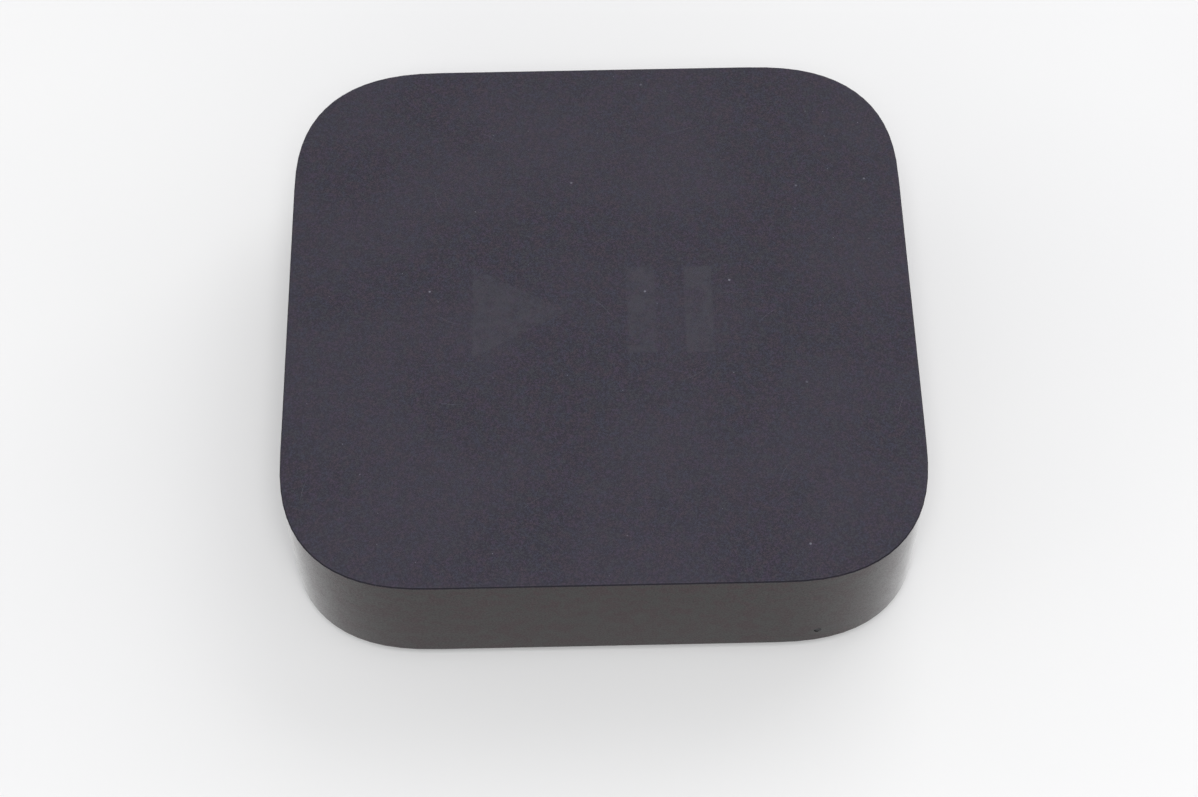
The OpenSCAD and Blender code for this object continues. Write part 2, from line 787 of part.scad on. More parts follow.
module transformer_winding() color([0.9, 0.8, 0.2]) {
    at = [25, -3];
    difference() {
        union() {
            translate([at.x, at.y, power_top + 3.3]) cylinder(r = 4.6, h = 6.2);
            // Bobbin flanges, and the rails that carry its pins
            chip(at, [13.9, 9.6], power_top + 3.3, power_top + 3.9);
            chip(at, [11, 9.6], power_top + 9, power_top + 9.6);
            for (side = [-1, 1])
                chip([at.x + side * 5.9, at.y], [2.1, 9.6], power_top, power_top + 3.3 + eps);
        }
        translate([at.x, at.y, power_top + 3]) cylinder(r = 2.1, h = 8);
    }
}

module safety_capacitor() color([0.2, 0.35, 0.6]) {
    translate([28.6, 11, power_top + 4.1]) rotate([0, 90, 0]) rotate_extrude()
        polygon([[0, 0], [3, 0], [3.6, 0.6], [3.6, 2.2], [3, 2.8], [0, 2.8]]);
    // Two leads
    for (side = [-1, 1]) translate([30, 11 + 2 * side, power_top]) cylinder(r = 0.3, h = 1.4);
}

module radial_can(r, h) {
    rotate_extrude() polygon([
        [0, 0], [r - 0.3, 0], [r, 0.3], [r, 1.4], [r - 0.4, 1.8], [r, 2.2],
        [r, h - 0.3], [r - 0.3, h], [0, h]
    ]);
}

module output_capacitors() color([0.12, 0.3, 0.22]) {
    for (p = [[23, -17], [32, -21]]) translate([p.x, p.y, power_top]) radial_can(4, 12);
}

module output_inductor() color([0.3, 0.3, 0.32]) {
    translate([24, -27.5, power_top]) rotate_extrude() polygon([
        [0, 0], [3.6, 0], [3.6, 1], [3, 1], [3, 6], [3.6, 6], [3.6, 7], [0, 7]
    ]);
}

module power_controller() color([0.1, 0.1, 0.11]) {
    at = [30.5, -30];
    chip(at, [4.9, 3.9], power_top + 0.15, power_top + 1.6);
    for (side = [-1, 1]) for (i = [-1.5:1.5])
        chip([at.x + 1.27 * i, at.y + 2.4 * side], [0.42, 1], power_top, power_top + 0.6);
}

module power_small_parts() color([0.2, 0.2, 0.2]) {
    for (i = [0:2]) chip([37.6 + 2.2 * i, -18.5], [1.2, 2], power_top, power_top + 0.6);
    for (i = [0:3]) chip([35.2 + 2 * i, -28.8], [1.2, 2], power_top, power_top + 0.6);
    for (i = [0:2]) chip([34, 15.5 + 2.8 * i], [1.4, 2.2], power_top, power_top + 0.7);
}

power_socket_at = [21.8, -34.9];

module power_harness_socket() color([0.9, 0.88, 0.8]) {
    difference() {
        chip(power_socket_at, [8, 5.8], power_top, power_top + 5);
        block(
            [power_socket_at.x - 5, power_socket_at.y - 2.3, power_top + 0.6],
            [power_socket_at.x + 2.5, power_socket_at.y + 2.3, power_top + 4.4]
        );
    }
}

// ---------------------------------------------------------------------------------------------
// Harness, indicator and antennas

wire_pitch = 1.1;
logic_plug_y = harness_socket_at.y - 8;
power_plug_x = power_socket_at.x - 7.5;
logic_wire_z = logic_z - 2.1;
power_wire_z = power_top + 2.5;

module harness_plugs() color([0.92, 0.9, 0.84]) {
    block(
        [harness_socket_at.x - 3.4, logic_plug_y, logic_z - 3.5],
        [harness_socket_at.x + 3.4, harness_socket_at.y + 2, logic_z - 0.7]
    );
    block(
        [power_plug_x, power_socket_at.y - 2.2, power_top + 0.7],
        [power_socket_at.x + 2, power_socket_at.y + 2.2, power_top + 4.3]
    );
}

module harness_wires() color([0.7, 0.12, 0.1]) {
    steps = 12;
    stub = 0.8;             // straight stretch at each plug
    start = [harness_socket_at.x, logic_plug_y - 0.05, logic_wire_z];
    end = [power_plug_x - 0.05, power_socket_at.y, power_wire_z];
    a = start - [0, stub, 0];
    d = end - [stub, 0, 0];
    bend = [for (k = [0:steps]) bezier(a, a - [0, 5, 0], d - [4.5, 0, 0], d, k / steps)];
    middle = concat([start], bend, [end]);
    sides = [for (dir = tangents(middle)) unit(cross(dir, [0, 0, 1]))];
    for (i = [-1.5:1.5])
        tube([for (k = [0:len(middle) - 1]) middle[k] + i * wire_pitch * sides[k]], 0.4);
}

module status_light() color([0.95, 0.95, 0.85]) {
    y = indicator_box[0].y;
    block([light_x - 1, y - 0.8, light_z - 0.6], [light_x + 1, y, light_z + 0.6]);
}

module light_pipe() color([0.12, 0.12, 0.14]) {
    back_y = indicator_box[0].y - 0.85;
    bar_y(0.5, light_x, -half_w + 0.7, -46.1, light_z);
    bar_y(0.8, light_x, -46.2, back_y, light_z);
}

module infrared_receiver() color([0.1, 0.08, 0.1]) {
    y = indicator_box[0].y;
    x = 22;
    z = 11;
    block([x - 2.7, y - 2.2, z - 3.2], [x + 2.7, y, z + 3.2]);
    translate([x, y - 1.6, z]) intersection() {
        sphere(r = 1.7);
        block([-2, -2, -2], [2, 0, 2]);
    }
}

// A thin strip through points in Y and Z, as wide as the ribbon.
function strip(points, t) = let(
    dirs = tangents(points),
    side = [for (i = [0:len(points) - 1]) points[i] + t / 2 * [-dirs[i].y, dirs[i].x]],
    other = [for (i = [len(points) - 1:-1:0]) points[i] - t / 2 * [-dirs[i].y, dirs[i].x]]
) concat(side, other);

module indicator_ribbon() color([0.75, 0.5, 0.2]) {
    thickness = 0.15;
    back_y = indicator_box[1].y + thickness / 2 + 0.04;
    socket_y = -33.6;
    slot_z = logic_top + 0.7;
    points = smooth([
        [back_y, 9], [back_y, 12], [back_y + 0.12, 13.5], [-41.4, 15.8], [-39.3, 16.8], [-37, 16.2],
        [-35.2, slot_z + 0.1], [socket_y, slot_z]
    ], 3);
    translate([ribbon_x[0], 0, 0]) rotate([90, 0, 90]) linear_extrude(ribbon_x[1] - ribbon_x[0])
        polygon(strip(points, thickness));
}

antenna_z = [8.5, 17.5];

module antennas() color([0.05, 0.18, 0.12]) {
    block([-inner_y + 0.1, -14, antenna_z[0]], [-inner_y + 0.9, 8, antenna_z[1]]);
    block([-20, -inner_y + 0.1, antenna_z[0]], [2, -inner_y + 0.9, antenna_z[1]]);
}

cable_r = 0.55;
plug_top = logic_top + 1.65;            // middle of a lead where it lies on its plug
plug_places = [[-35, -9], [-24, -28.5]];
// Routes of the two coaxial leads, from the antenna boards to their plugs
side_route = [
    [-inner_y + 1.75, -3, 12], [-inner_y + 1.75, -3, 15], [-43.6, -4, 17], [-40.5, -6, 17.4],
    [-37, -8, 16.8], [-35, -9, plug_top]
];
front_route = [
    [-9, -inner_y + 1.75, 12], [-9, -inner_y + 1.75, 15], [-10.5, -42.5, 17.2], [-15.5, -37, 17.4],
    [-20.5, -32, 17], [-24, -28.5, plug_top]
];

module antenna_cables() color([0.2, 0.2, 0.2]) {
    tube(smooth(side_route, 3), cable_r);
    tube(smooth(front_route, 3), cable_r);
}

module antenna_plugs() color([0.85, 0.7, 0.35]) {
    at_each(plug_places) translate([0, 0, logic_top]) cylinder(r = 1.3, h = 0.6);
    at_each(plug_places) translate([0, 0, logic_top + 0.6 - eps]) cylinder(r = 1, h = 0.4 + eps);
}

// ---------------------------------------------------------------------------------------------

upper_case();
lower_case();
foot_pad();
heat_plate();
heat_plate_screws();
logic_board();
logic_board_screws();
power_board();
power_board_screws();
power_insulator();
power_inlet();
power_inlet_pins();
video_port_shell();
video_port_tongue();
video_port_contacts();
service_port_shell();
service_port_tongue();
network_port_housing();
network_port_shield();
network_port_contacts();
optical_housing();
optical_shutter();
shutter_pin();
shutter_spring();
optical_emitter();
processor();
thermal_pad();
flash_memory();
power_manager();
wireless_module();
shield_can();
network_transformer();
logic_small_parts();
logic_inductors();
clock_crystal();
logic_harness_socket();
ribbon_socket();
fuse();
input_choke();
noise_capacitor();
bridge_rectifier();
bulk_capacitor();
transformer_core();
transformer_winding();
safety_capacitor();
output_capacitors();
output_inductor();
power_controller();
power_small_parts();
power_harness_socket();
harness_wires();
harness_plugs();
indicator_board();
status_light();
light_pipe();
infrared_receiver();
indicator_ribbon();
antennas();
antenna_cables();
antenna_plugs();
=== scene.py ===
"""Studio scene of the streaming media player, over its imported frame. Lengths are in metres."""
import json
import math

import bmesh
import bpy
from mathutils import Matrix, Vector


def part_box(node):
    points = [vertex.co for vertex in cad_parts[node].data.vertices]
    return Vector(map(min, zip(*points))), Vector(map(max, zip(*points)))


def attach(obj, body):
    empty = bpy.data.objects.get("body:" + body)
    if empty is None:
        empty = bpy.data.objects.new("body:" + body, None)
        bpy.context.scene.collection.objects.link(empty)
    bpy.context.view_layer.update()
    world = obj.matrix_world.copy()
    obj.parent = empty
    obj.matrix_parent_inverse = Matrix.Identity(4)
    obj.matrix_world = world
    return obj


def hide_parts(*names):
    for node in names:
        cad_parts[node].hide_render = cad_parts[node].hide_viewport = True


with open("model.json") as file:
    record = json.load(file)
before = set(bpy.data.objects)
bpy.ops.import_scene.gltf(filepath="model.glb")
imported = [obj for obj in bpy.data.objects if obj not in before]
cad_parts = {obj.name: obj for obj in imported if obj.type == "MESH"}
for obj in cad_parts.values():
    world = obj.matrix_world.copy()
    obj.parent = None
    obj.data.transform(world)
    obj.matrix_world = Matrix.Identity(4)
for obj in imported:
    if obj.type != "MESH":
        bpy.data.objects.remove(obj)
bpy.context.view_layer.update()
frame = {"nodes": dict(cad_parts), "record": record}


def rgb(red, green, blue):
    """An opaque colour in linear light."""
    return (red, green, blue, 1.0)


MM = 0.001
WELD = 0.002 * MM  # corners that are closer than this are one corner
NODES = frame["nodes"]
COLOURS = {m["slot"]: rgb(*m["base_color"][:3]) for m in frame["record"]["materials"]}
SLOTS = {s["node"]: s["material_slot"] for s in frame["record"]["subparts"]}
case_low, case_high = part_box("upper_case")


# --------------------------------------------------------------------------------------------
# Camera

def place_camera(target, azimuth, elevation, roll, distance, lens):
    """A camera that looks at a point from an angle round the object. Azimuth 0 looks along +Y."""
    az, el = math.radians(azimuth), math.radians(elevation)
    back = Vector((math.sin(az) * math.cos(el), -math.cos(az) * math.cos(el), math.sin(el)))
    right = (-back).cross(Vector((0, 0, 1))).normalized()
    up = right.cross(-back)
    turn = Matrix.Rotation(math.radians(roll), 3, "Z")
    axes = Matrix((right, up, back)).transposed() @ turn
    data = bpy.data.cameras.new("camera")
    data.lens = lens
    data.sensor_width = 36.0
    data.clip_start = 0.01
    data.clip_end = 20.0
    camera = bpy.data.objects.new("camera", data)
    camera.matrix_world = Matrix.Translation(target + back * distance) @ axes.to_4x4()
    bpy.context.scene.collection.objects.link(camera)
    bpy.context.scene.camera = camera


place_camera(
    target=Vector((-0.33 * MM, -3.73 * MM, case_low.z)),
    azimuth=-0.84, elevation=57.13, roll=-0.43, distance=0.4224, lens=78.23,
)


# --------------------------------------------------------------------------------------------
# Shader helpers

class Shader:
    """A Principled material whose textures are all computed from object coordinates in mm."""

    def __init__(self, name, base=None, rough=0.5, metal=0.0, **settings):
        self.material = bpy.data.materials.new(name)
        self.material.use_nodes = True
        self.tree = self.material.node_tree
        self.tree.nodes.clear()
        output = self.tree.nodes.new("ShaderNodeOutputMaterial")
        self.bsdf = self.tree.nodes.new("ShaderNodeBsdfPrincipled")
        self.tree.links.new(self.bsdf.outputs[0], output.inputs[0])
        if base is not None:
            self.bsdf.inputs["Base Color"].default_value = base
        self.bsdf.inputs["Roughness"].default_value = rough
        self.bsdf.inputs["Metallic"].default_value = metal
        for key, value in settings.items():
            self.bsdf.inputs[key.replace("_", " ")].default_value = value
        where = self.tree.nodes.new("ShaderNodeTexCoord")
        self.mm = self.vector("SCALE", where.outputs["Object"], scale=1000.0)
        self._split = None

    def node(self, kind, inputs=None, **settings):
        made = self.tree.nodes.new(kind)
        for key, value in settings.items():
            setattr(made, key, value)
        for key, value in (inputs or {}).items():
            self.feed(made.inputs[key], value)
        return made

    def feed(self, socket, value):
        if isinstance(value, bpy.types.NodeSocket):
            self.tree.links.new(value, socket)
        else:
            socket.default_value = value

    def vector(self, operation, a, b=None, scale=None):
        made = self.node("ShaderNodeVectorMath", operation=operation)
        self.feed(made.inputs[0], a)
        if b is not None:
            self.feed(made.inputs[1], b)
        if scale is not None:
            self.feed(made.inputs["Scale"], scale)
        return made.outputs[0]

    def math(self, operation, a, b=None, c=None):
        made = self.node("ShaderNodeMath", operation=operation)
        for place, value in enumerate((a, b, c)):
            if value is not None:
                self.feed(made.inputs[place], value)
        return made.outputs[0]

    def axis(self, name):
        """One object coordinate, in mm."""
        if self._split is None:
            self._split = self.node("ShaderNodeSeparateXYZ", {0: self.mm})
        return self._split.outputs[name]

    def stretched(self, x=1.0, y=1.0, z=1.0):
        return self.vector("MULTIPLY", self.mm, (x, y, z))

    def noise(self, scale, detail=2.0, rough=0.5, at=None, distortion=0.0):
        """Noise with about scale waves to the mm, in detail octaves that keep rough of the last."""
        made = self.node(
            "ShaderNodeTexNoise",
            {"Vector": at or self.mm, "Scale": scale, "Detail": detail, "Roughness": rough,
             "Distortion": distortion},
        )
        return made.outputs[0]

    def cells(self, scale, at=None, feature="F1", randomness=1.0, dimensions="3D"):
        return self.node(
            "ShaderNodeTexVoronoi",
            {"Vector": at or self.mm, "Scale": scale, "Randomness": randomness},
            feature=feature, voronoi_dimensions=dimensions,
        )

    def plan(self):
        """The flat map of a surface that lies level."""
        return self.stretched(z=0.0)

    def round_the_side(self):
        """The flat map of the case's side: distance round it, and height."""
        turn = self.math("ARCTAN2", self.axis("Y"), self.axis("X"))
        along = self.math("MULTIPLY", turn, case_high.x / MM)
        return self.node("ShaderNodeCombineXYZ", {0: along, 1: self.axis("Z")}).outputs[0]

    def ramp(self, value, low, high, to_low=0.0, to_high=1.0, smooth=True):
        """A value between low and high as one between to_low and to_high."""
        made = self.node(
            "ShaderNodeMapRange",
            {"Value": value, "From Min": low, "From Max": high, "To Min": to_low,
             "To Max": to_high},
            interpolation_type="SMOOTHSTEP" if smooth else "LINEAR",
        )
        return made.outputs[0]

    def mix(self, factor, a, b):
        made = self.node("ShaderNodeMix", data_type="RGBA")
        self.feed(made.inputs["Factor"], factor)
        self.feed(made.inputs[6], a)
        self.feed(made.inputs[7], b)
        return made.outputs[2]

    def lay(self, under, over, mask, share):
        """One colour laid over another where the mask is 1, covering a share of it."""
        return self.mix(self.math("MULTIPLY", mask, share), under, over)

    def bump(self, height, relief, over=None):
        """Bumps of a relief in mm, on top of the normals of other bumps if they are given."""
        made = self.node("ShaderNodeBump", {"Height": height, "Distance": relief * MM})
        if over is not None:
            self.feed(made.inputs["Normal"], over)
        return made.outputs[0]

    def set(self, **inputs):
        for key, value in inputs.items():
            self.feed(self.bsdf.inputs[key.replace("_", " ")], value)


def shade(colour, factor):
    return rgb(*(min(1.0, c * factor) for c in colour[:3]))


# --------------------------------------------------------------------------------------------
# Marks that a material can carry

def scratches(s, place, scale, reach, width, share, seed):
    """Short, slightly bent strokes: at most one in each cell, each at its own angle."""
    at = s.vector("ADD", place, (seed, seed * 0.7, 0.0))
    cell = s.cells(scale, at, randomness=0.8, dimensions="2D")
    split = s.node("ShaderNodeSeparateColor", {0: cell.outputs["Color"]})
    from_middle = s.vector("SUBTRACT", at, cell.outputs["Position"])
    offset = s.node("ShaderNodeSeparateXYZ", {0: from_middle})
    angle = s.math("MULTIPLY", split.outputs[0], 2 * math.pi)
    cosine, sine = s.math("COSINE", angle), s.math("SINE", angle)
    x, y = offset.outputs[0], offset.outputs[1]
    along = s.math("ADD", s.math("MULTIPLY", x, cosine), s.math("MULTIPLY", y, sine))
    across = s.math("SUBTRACT", s.math("MULTIPLY", y, cosine), s.math("MULTIPLY", x, sine))
    bend = s.math("MULTIPLY", along, along)
    off_line = s.math("ABSOLUTE", s.math("MULTIPLY_ADD", bend, 0.06, across))
    body = s.ramp(off_line, width, 0.0)
    ends = s.ramp(s.math("ABSOLUTE", along), reach, reach * 0.4)
    chosen = s.math("GREATER_THAN", split.outputs[1], 1.0 - share)
    return s.math("MULTIPLY", s.math("MULTIPLY", body, ends), chosen)


def specks(s, place, scale, radius, share, seed):
    """Sparse round dots, each in its own cell and with its own strength."""
    cell = s.cells(scale, s.vector("ADD", place, (seed, seed * 1.3, 0.0)), dimensions="2D")
    dot = s.ramp(cell.outputs["Distance"], radius * scale, radius * scale * 0.5)
    split = s.node("ShaderNodeSeparateColor", {0: cell.outputs["Color"]})
    chosen = s.math("GREATER_THAN", split.outputs[0], 1.0 - share)
    own = s.ramp(split.outputs[1], 0.0, 1.0, to_low=0.25, to_high=1.0, smooth=False)
    return s.math("MULTIPLY", dot, s.math("MULTIPLY", chosen, own))


def play_mark(s):
    """A worn play-and-pause symbol in the middle of the top, drawn as distances in mm."""
    play_left, play_height = -20.0, 14.8
    bar_middles, bar_half_width, bar_half_length = (6.5, 15.5), 2.2, 8.1
    cos_60, sin_60 = 0.5, 0.866
    soft_rim = 0.25

    x = s.axis("X")
    y = s.math("ABSOLUTE", s.axis("Y"))
    from_left = s.math("SUBTRACT", x, play_left)
    slant = s.math("ADD", s.math("MULTIPLY", y, sin_60), s.math("MULTIPLY", from_left, cos_60))
    past_slant = s.math("SUBTRACT", slant, play_height * cos_60)
    shape = s.math("MAXIMUM", s.math("SUBTRACT", play_left, x), past_slant)
    for middle in bar_middles:
        from_middle = s.math("ABSOLUTE", s.math("SUBTRACT", x, middle))
        past_side = s.math("SUBTRACT", from_middle, bar_half_width)
        bar = s.math("MAXIMUM", past_side, s.math("SUBTRACT", y, bar_half_length))
        shape = s.math("MINIMUM", shape, bar)
    worn = s.ramp(s.noise(0.5, 3.0, 0.6), 0.34, 0.6, to_low=0.25, to_high=1.0)
    return s.math("MULTIPLY", s.ramp(shape, soft_rim, -soft_rim), worn)


# --------------------------------------------------------------------------------------------
# Casing materials

def matte_colour(s, grain, mark, scratch):
    """The top: a fine grain of two mixed tones with its worn mark, scratches and dust."""
    pit = rgb(0.027, 0.0245, 0.035)
    blue_green, plum = rgb(0.0405, 0.0465, 0.058), rgb(0.0585, 0.0400, 0.058)
    grey, violet = rgb(0.0485, 0.0440, 0.052), rgb(0.0465, 0.0420, 0.072)
    cloud_tone = rgb(0.052, 0.047, 0.063)
    mark_tone = rgb(0.054, 0.053, 0.065)
    scratch_tone = rgb(0.16, 0.16, 0.19)
    dust_tone = rgb(0.25, 0.25, 0.30)

    round_grain = s.noise(0.55, 3.0, 0.65)
    flat_grain = s.noise(0.75, 3.0, 0.65, s.stretched(z=3.0))
    warm = s.mix(s.ramp(round_grain, 0.42, 0.58), blue_green, plum)
    cool = s.mix(s.ramp(flat_grain, 0.42, 0.58), grey, violet)
    cloud = s.ramp(s.noise(0.05, 3.0, 0.5), 0.35, 0.65)
    dust = specks(s, s.plan(), scale=0.085, radius=0.24, share=0.18, seed=3.0)
    fine_dust = specks(s, s.plan(), scale=0.35, radius=0.10, share=0.05, seed=11.0)

    colour = s.mix(s.ramp(grain, 0.42, 0.60), pit, s.mix(0.5, warm, cool))
    colour = s.lay(colour, cloud_tone, cloud, 0.25)
    colour = s.lay(colour, mark_tone, mark, 0.5)
    colour = s.lay(colour, scratch_tone, scratch, 0.22)
    return s.lay(colour, dust_tone, s.math("MAXIMUM", dust, fine_dust), 0.6)


def gloss_colour(s, side, blotch):
    """The side: near black with brown and red blotches, a thin film, lint and rubbed streaks."""
    brown, red = rgb(0.0056, 0.0042, 0.0036), rgb(0.0132, 0.0026, 0.0048)
    film_tone = rgb(0.0140, 0.0100, 0.0100)
    worn_tone = rgb(0.16, 0.14, 0.13)

    film = s.ramp(s.noise(0.12, 4.0, 0.6, s.stretched(z=2.0)), 0.35, 0.7)
    lint = specks(s, side, scale=0.7, radius=0.08, share=0.16, seed=5.0)
    rub = scratches(s, side, scale=0.11, reach=2.2, width=0.05, share=0.5, seed=40.0)
    worn = s.math("MAXIMUM", lint, s.math("MULTIPLY", rub, 0.6))

    colour = s.mix(s.ramp(blotch, 0.42, 0.60), brown, red)
    colour = s.lay(colour, film_tone, film, 0.3)
    return s.lay(colour, worn_tone, worn, 0.3)


def case_material():
    """Fine matte texture on the top, polished sides, and a thin painted shade line on the rounded
    edge where the two meet.
    """
    s = Shader("case_matte_and_gloss", IOR=1.245, Coat_IOR=1.245, Coat_Roughness=0.06)
    rim = case_high.z / MM
    # The matte starts at the foot of the rounded edge, and the painted shade line covers the edge's
    # own band
    top = s.ramp(s.axis("Z"), rim - 0.40, rim - 0.34)
    below_top = s.math("SUBTRACT", 1.0, top)
    # Painted shade: the rounded edge below the top's rim is darkened to a thin dark line
    painted_shade_line = s.math("MULTIPLY", top, s.ramp(s.axis("Z"), rim - 0.06, rim - 0.16))
    painted_shade_line_tone = rgb(0.006, 0.005, 0.009)
    side = s.round_the_side()

    coarse, fine = s.noise(3.2, 2.0, 0.7), s.noise(8.0)
    grain = s.math("MULTIPLY_ADD", coarse, 0.6, s.math("MULTIPLY", fine, 0.4))
    mark = play_mark(s)
    scratch = scratches(s, s.plan(), scale=0.055, reach=2.6, width=0.07, share=0.55, seed=12.0)
    blotch = s.noise(0.45, 4.0, 0.7, side, distortion=0.6)

    # The painted shade line is laid over the top's colour on the rounded edge
    matte = s.lay(matte_colour(s, grain, mark, scratch), painted_shade_line_tone, painted_shade_line, 0.8)
    gloss = gloss_colour(s, side, blotch)
    handling = s.math("MULTIPLY", s.noise(3.5, 2.0, 0.7, side), 0.7)
    wear = s.math("MULTIPLY_ADD", blotch, 0.3, handling)
    coat = s.ramp(wear, 0.42, 0.60, to_low=1.0, to_high=0.52)

    dull = s.ramp(grain, 0.3, 0.7, to_low=0.60, to_high=0.72)
    matte_rough = s.math("SUBTRACT", dull, s.math("MULTIPLY", mark, 0.04))
    gloss_rough = s.ramp(blotch, 0.35, 0.70, to_low=0.05, to_high=0.15)
    rough = s.node(
        "ShaderNodeMix", {"Factor": top, 2: gloss_rough, 3: matte_rough}, data_type="FLOAT"
    )

    scratched = s.math("SUBTRACT", grain, s.math("MULTIPLY", scratch, 0.4))
    relief = s.math("MULTIPLY", scratched, top)
    peel = s.math("MULTIPLY", s.noise(0.9, 2.0, 0.5), below_top)
    s.set(
        Base_Color=s.mix(top, gloss, matte),
        Coat_Weight=s.math("MULTIPLY", coat, below_top),
        Roughness=rough.outputs[0],
        Normal=s.bump(relief, 0.03, over=s.bump(peel, 0.004)),
    )
    return s.material


def base_material():
    s = Shader("base_plastic", rough=0.4, IOR=1.35)
    grain = s.noise(4.0, 3.0, 0.6)
    base = COLOURS["base_plastic"]
    film = s.ramp(s.noise(0.1, 3.0, 0.6), 0.4, 0.7)
    s.set(
        Base_Color=s.lay(base, shade(base, 1.7), film, 0.6),
        Roughness=s.ramp(grain, 0.3, 0.7, to_low=0.30, to_high=0.44),
        Normal=s.bump(grain, 0.012),
    )
    return s.material


def rubber_material():
    s = Shader("foot_rubber", rough=0.8)
    grain = s.noise(3.0, 4.0, 0.7)
    base = COLOURS["foot_rubber"]
    scuff_tone = rgb(0.14, 0.14, 0.14)
    lint = specks(s, s.plan(), scale=0.4, radius=0.16, share=0.10, seed=9.0)
    scuff = scratches(s, s.plan(), scale=0.07, reach=3.5, width=0.10, share=0.4, seed=21.0)
    clean = s.mix(s.ramp(grain, 0.35, 0.7), base, shade(base, 1.8))
    s.set(
        Base_Color=s.lay(clean, scuff_tone, s.math("MAXIMUM", lint, scuff), 0.35),
        Roughness=s.ramp(grain, 0.3, 0.7, to_low=0.72, to_high=0.9),
        Normal=s.bump(grain, 0.03),
    )
    return s.material


# --------------------------------------------------------------------------------------------
# Families of materials for the pieces behind and inside

def plastic(slot, rough, grain, relief, vary, ior=1.5):
    """Moulded plastic, whose colour drifts towards a lighter or darker one."""
    s = Shader(slot, IOR=ior)
    base = COLOURS[slot]
    fine = s.noise(grain, 3.0, 0.6)
    wide = s.noise(grain * 0.05, 3.0, 0.5)
    s.set(
        Base_Color=s.mix(s.ramp(wide, 0.35, 0.7), base, shade(base, vary)),
        Roughness=s.ramp(fine, 0.3, 0.7, rough - 0.07, rough + 0.08),
        Normal=s.bump(fine, relief),
    )
    return s.material


def sheet_metal(slot, rough, along, relief, stain):
    """Metal with fine lines along the axis of its lowest scale, and a darker stain."""
    s = Shader(slot, metal=1.0)
    base = COLOURS[slot]
    lines = s.noise(1.0, 3.0, 0.6, s.stretched(*along))
    cloud = s.noise(0.25, 4.0, 0.65)
    line_rough = s.ramp(lines, 0.3, 0.7, rough - 0.08, rough + 0.1)
    cloud_rough = s.ramp(cloud, 0.4, 0.8, to_low=0.0, to_high=0.12)
    s.set(
        Base_Color=s.mix(s.ramp(cloud, 0.4, 0.75), base, shade(base, stain)),
        Roughness=s.math("ADD", line_rough, cloud_rough),
        Normal=s.bump(lines, relief),
    )
    return s.material


def circuit_board(slot, mask, copper, legend):
    """Solder mask over copper tracks, with tinned pads and a few legend ticks."""
    s = Shader(slot, rough=0.3)
    tin = rgb(0.55, 0.5, 0.42)
    shift = s.vector("SCALE", s.cells(0.16, randomness=0.0).outputs["Color"], scale=0.9)
    bent = s.vector("ADD", s.mm, shift)
    blocks = s.cells(0.35, bent, "DISTANCE_TO_EDGE", randomness=0.75).outputs["Distance"]
    tracks = s.ramp(blocks, 0.035, 0.055, to_low=1.0, to_high=0.0)
    pads = specks(s, s.plan(), scale=0.4, radius=0.34, share=0.22, seed=4.0)
    ticks = specks(s, s.stretched(y=3.0, z=0.0), scale=0.3, radius=0.5, share=0.10, seed=17.0)
    printed = s.lay(s.mix(tracks, mask, copper), legend, ticks, 0.8)
    s.set(
        Base_Color=s.mix(pads, printed, tin),
        Metallic=s.math("MULTIPLY", pads, 0.9),
        Roughness=s.ramp(s.noise(2.0), 0.3, 0.7, to_low=0.24, to_high=0.38),
        Normal=s.bump(s.math("ADD", tracks, pads), 0.02),
    )
    return s.material


def layered(slot, pitch, axis, rough, relief, dark):
    """Windings, tape or leads laid side by side along one axis."""
    s = Shader(slot)
    base = COLOURS[slot]
    waver = s.math("MULTIPLY", s.noise(0.3), 1.5)
    phase = s.math("ADD", s.math("MULTIPLY", s.axis(axis), 2 * math.pi / pitch), waver)
    wave = s.ramp(s.math("SINE", phase), -1.0, 1.0)
    s.set(
        # Painted shade: the colour darkens in the grooves of the bump, between the strands laid
        # side by side
        Base_Color=s.mix(wave, shade(base, dark), base),
        Roughness=s.ramp(s.noise(3.0), 0.3, 0.7, rough - 0.06, rough + 0.08),
        Normal=s.bump(wave, relief),
    )
    return s.material


def speckled(slot, second, scale, rough, relief):
    """Pressed or fired stuff, with spots of a second colour."""
    s = Shader(slot)
    base = COLOURS[slot]
    grain = s.noise(scale, 4.0, 0.7)
    spots = s.cells(scale * 0.7).outputs["Distance"]
    s.set(
        Base_Color=s.mix(s.ramp(spots, 0.15, 0.4), second, base),
        Roughness=s.ramp(grain, 0.3, 0.7, rough - 0.1, rough + 0.1),
        Normal=s.bump(grain, relief),
    )
    return s.material


def tinted_lens(slot, rough):
    """Coloured clear plastic or lacquer, glossy and slightly hazy."""
    s = Shader(slot, Coat_Weight=0.6, Coat_Roughness=0.08)
    base = COLOURS[slot]
    haze = s.noise(1.4, 3.0, 0.6)
    s.set(
        Base_Color=s.mix(s.ramp(haze, 0.35, 0.7), base, shade(base, 1.5)),
        Roughness=s.ramp(haze, 0.3, 0.7, rough, rough + 0.12),
        Normal=s.bump(haze, 0.004),
    )
    return s.material


def smoked_plastic(slot):
    """A dark light pipe that lets a little light through."""
    s = Shader(slot, base=shade(COLOURS[slot], 0.3), IOR=1.3, Transmission_Weight=0.3)
    haze = s.noise(3.0, 3.0, 0.6)
    s.set(
        Roughness=s.ramp(haze, 0.3, 0.7, to_low=0.05, to_high=0.16),
        Normal=s.bump(haze, 0.004),
    )
    return s.material


def chip_top(slot):
    """Moulded epoxy: dull and hazy, with a fine matte grain."""
    s = Shader(slot)
    base = COLOURS[slot]
    grain = s.noise(9.0, 3.0, 0.7)
    haze = s.noise(0.4, 3.0, 0.6)
    s.set(
        Base_Color=s.mix(s.ramp(haze, 0.4, 0.7), base, shade(base, 2.0)),
        Roughness=s.ramp(grain, 0.3, 0.7, to_low=0.5, to_high=0.68),
        Normal=s.bump(grain, 0.02),
    )
    return s.material


